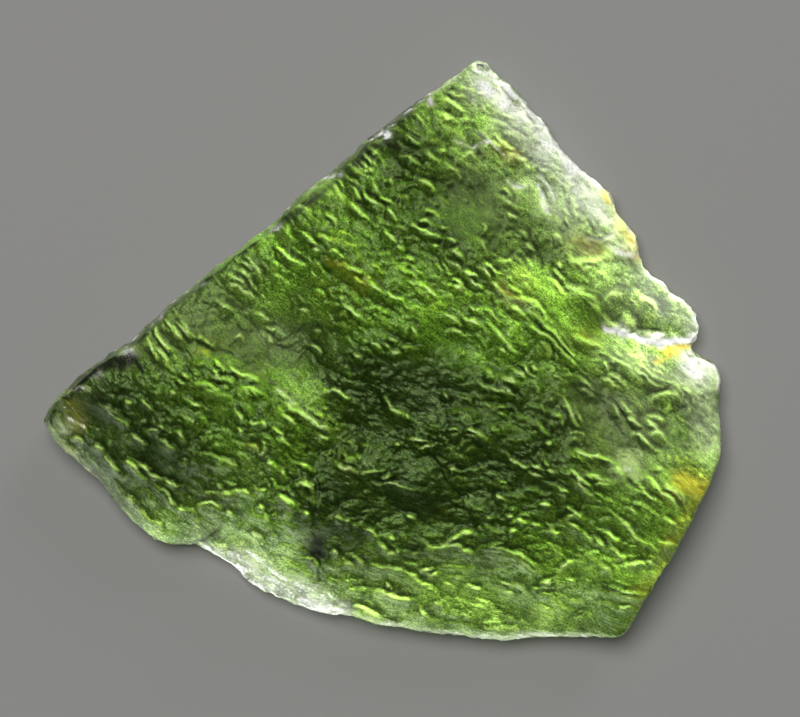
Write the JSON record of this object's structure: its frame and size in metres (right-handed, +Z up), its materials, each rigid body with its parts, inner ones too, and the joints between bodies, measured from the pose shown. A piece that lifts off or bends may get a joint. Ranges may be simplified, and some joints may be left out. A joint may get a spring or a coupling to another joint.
{
  "type": "raw moldavite",
  "caption": "flat four-cornered plate of raw green natural glass, etched into ridges, scallops and pits, snapped along one side, split along another, with a small notch in its blunt lobe",
  "frame": {"origin": "On the surface that the stone lies on, under the middle of its outline.", "axes": "+Z is up, through the plate's thickness. +X runs along the longest side, from the pointed left tip to the blunt right-hand lobe with the notch. +Y points to the small knob at the far corner."},
  "size_m": [0.036, 0.0308, 0.0068],
  "materials": {
    "moldavite_glass": "translucent bottle-green natural glass, olive dark where thick, pale at thin rims, with an etched, satin to glossy sculpted skin and a few ochre stains"
  },
  "bodies": {
    "root": {"moldavite": "moldavite_glass"}
  },
  "joints": []
}
